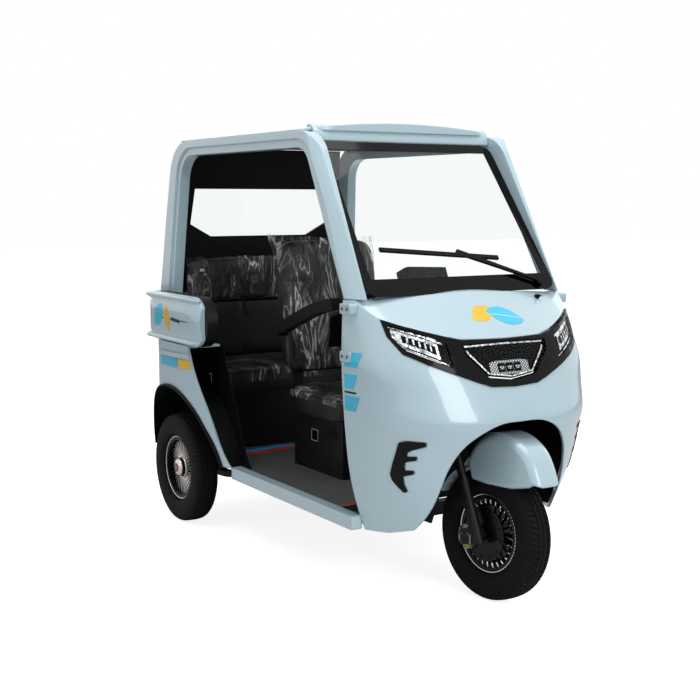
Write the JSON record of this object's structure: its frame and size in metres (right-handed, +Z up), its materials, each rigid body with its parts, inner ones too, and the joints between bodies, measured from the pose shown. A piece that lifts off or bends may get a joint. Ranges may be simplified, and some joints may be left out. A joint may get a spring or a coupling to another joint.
{
  "type": "electric passenger tricycle",
  "caption": "Open-sided electric passenger tricycle with a closed nose, windscreen, hooped cab, driver's seat and rear bench; steering, wheels, armrests and wiper move.",
  "frame": {"origin": "on the ground, on the centre plane, halfway between the front and rear axles", "axes": "+X forward, +Y to the vehicle's left, +Z up"},
  "size_m": [2.0392, 1.12, 1.6548],
  "materials": {
    "body_paint": "gloss",
    "gloss_black_trim": "gloss",
    "matte_black_plastic": "satin",
    "black_steel": "satin",
    "rim_black": "gloss",
    "tyre_rubber": "matte",
    "window_glass": "clear",
    "lamp_lens": "clear",
    "red_lens": "gloss",
    "seat_leatherette": "satin",
    "headliner_beige": "matte",
    "mat_rubber": "matte",
    "battery_case": "matte",
    "caliper_alloy": "satin"
  },
  "bodies": {
    "cab": {"front_cowl": "body_paint", "cowl_trim": "gloss_black_trim", "front_lamps": "lamp_lens", "windscreen_glass": "window_glass", "windscreen_surround": "gloss_black_trim", "side_hoops": "body_paint", "roof_panel": "body_paint", "headliner": "headliner_beige", "rear_wall": "matte_black_plastic", "rear_window_glass": "window_glass", "dashboard": "matte_black_plastic", "wheel_well": "matte_black_plastic", "floor_pan": "black_steel", "floor_mat": "mat_rubber", "chassis_frame": "black_steel", "driver_seat_base": "black_steel", "driver_cushion": "seat_leatherette", "driver_backrest": "seat_leatherette", "bench_base": "black_steel", "bench_cushion": "seat_leatherette", "bench_backrest": "seat_leatherette", "battery_pack": "battery_case", "rear_axle": "black_steel", "leaf_springs": "black_steel", "rear_quarters": "body_paint", "wheel_arch_liners": "matte_black_plastic", "side_pods": "body_paint", "sills": "body_paint", "rear_fascia": "body_paint", "tail_lamps": "red_lens", "door_hinge_pads": "body_paint"},
    "steering": {"fork": "black_steel", "front_fender": "body_paint", "handlebar": "black_steel", "instrument_cluster": "matte_black_plastic", "brake_caliper": "caliper_alloy"},
    "front_wheel": {"front_rim": "rim_black", "front_tyre": "tyre_rubber"},
    "rear_right_wheel": {"rear_right_rim": "rim_black", "rear_right_tyre": "tyre_rubber"},
    "rear_left_wheel": {"rear_left_rim": "rim_black", "rear_left_tyre": "tyre_rubber"},
    "armrest_right": {"armrest_right": "matte_black_plastic"},
    "armrest_left": {"armrest_left": "matte_black_plastic"},
    "wiper": {"wiper": "matte_black_plastic"}
  },
  "joints": [
    {"name": "steering_turn", "type": "hinge", "parent": "cab", "child": "steering", "pos_m": [0.73303, 0, 0.21826], "axis": [-0.4067, 0, 0.9135], "range_deg": [-44, 32]},
    {"name": "front_wheel_spin", "type": "hinge", "parent": "steering", "child": "front_wheel", "pos_m": [0.76482, 0.00366, 0.23242], "axis": [-0.0955, 0.9945, -0.0425], "continuous": true},
    {"name": "rear_right_wheel_spin", "type": "hinge", "parent": "cab", "child": "rear_right_wheel", "pos_m": [-0.765, -0.469, 0.2325], "axis": [0, 1, 0], "continuous": true},
    {"name": "rear_left_wheel_spin", "type": "hinge", "parent": "cab", "child": "rear_left_wheel", "pos_m": [-0.765, 0.469, 0.2325], "axis": [0, 1, 0], "continuous": true},
    {"name": "armrest_right_lift", "type": "hinge", "parent": "cab", "child": "armrest_right", "pos_m": [-0.283, -0.262, 0.861], "axis": [0, -1, 0], "range_deg": [0, 75]},
    {"name": "armrest_left_lift", "type": "hinge", "parent": "cab", "child": "armrest_left", "pos_m": [-0.283, 0.262, 0.861], "axis": [0, -1, 0], "range_deg": [0, 75]},
    {"name": "wiper_sweep", "type": "hinge", "parent": "cab", "child": "wiper", "pos_m": [0.57589, 0.34, 1.07641], "axis": [-0.8089, 0, -0.588], "range_deg": [0, 50]}
  ]
}
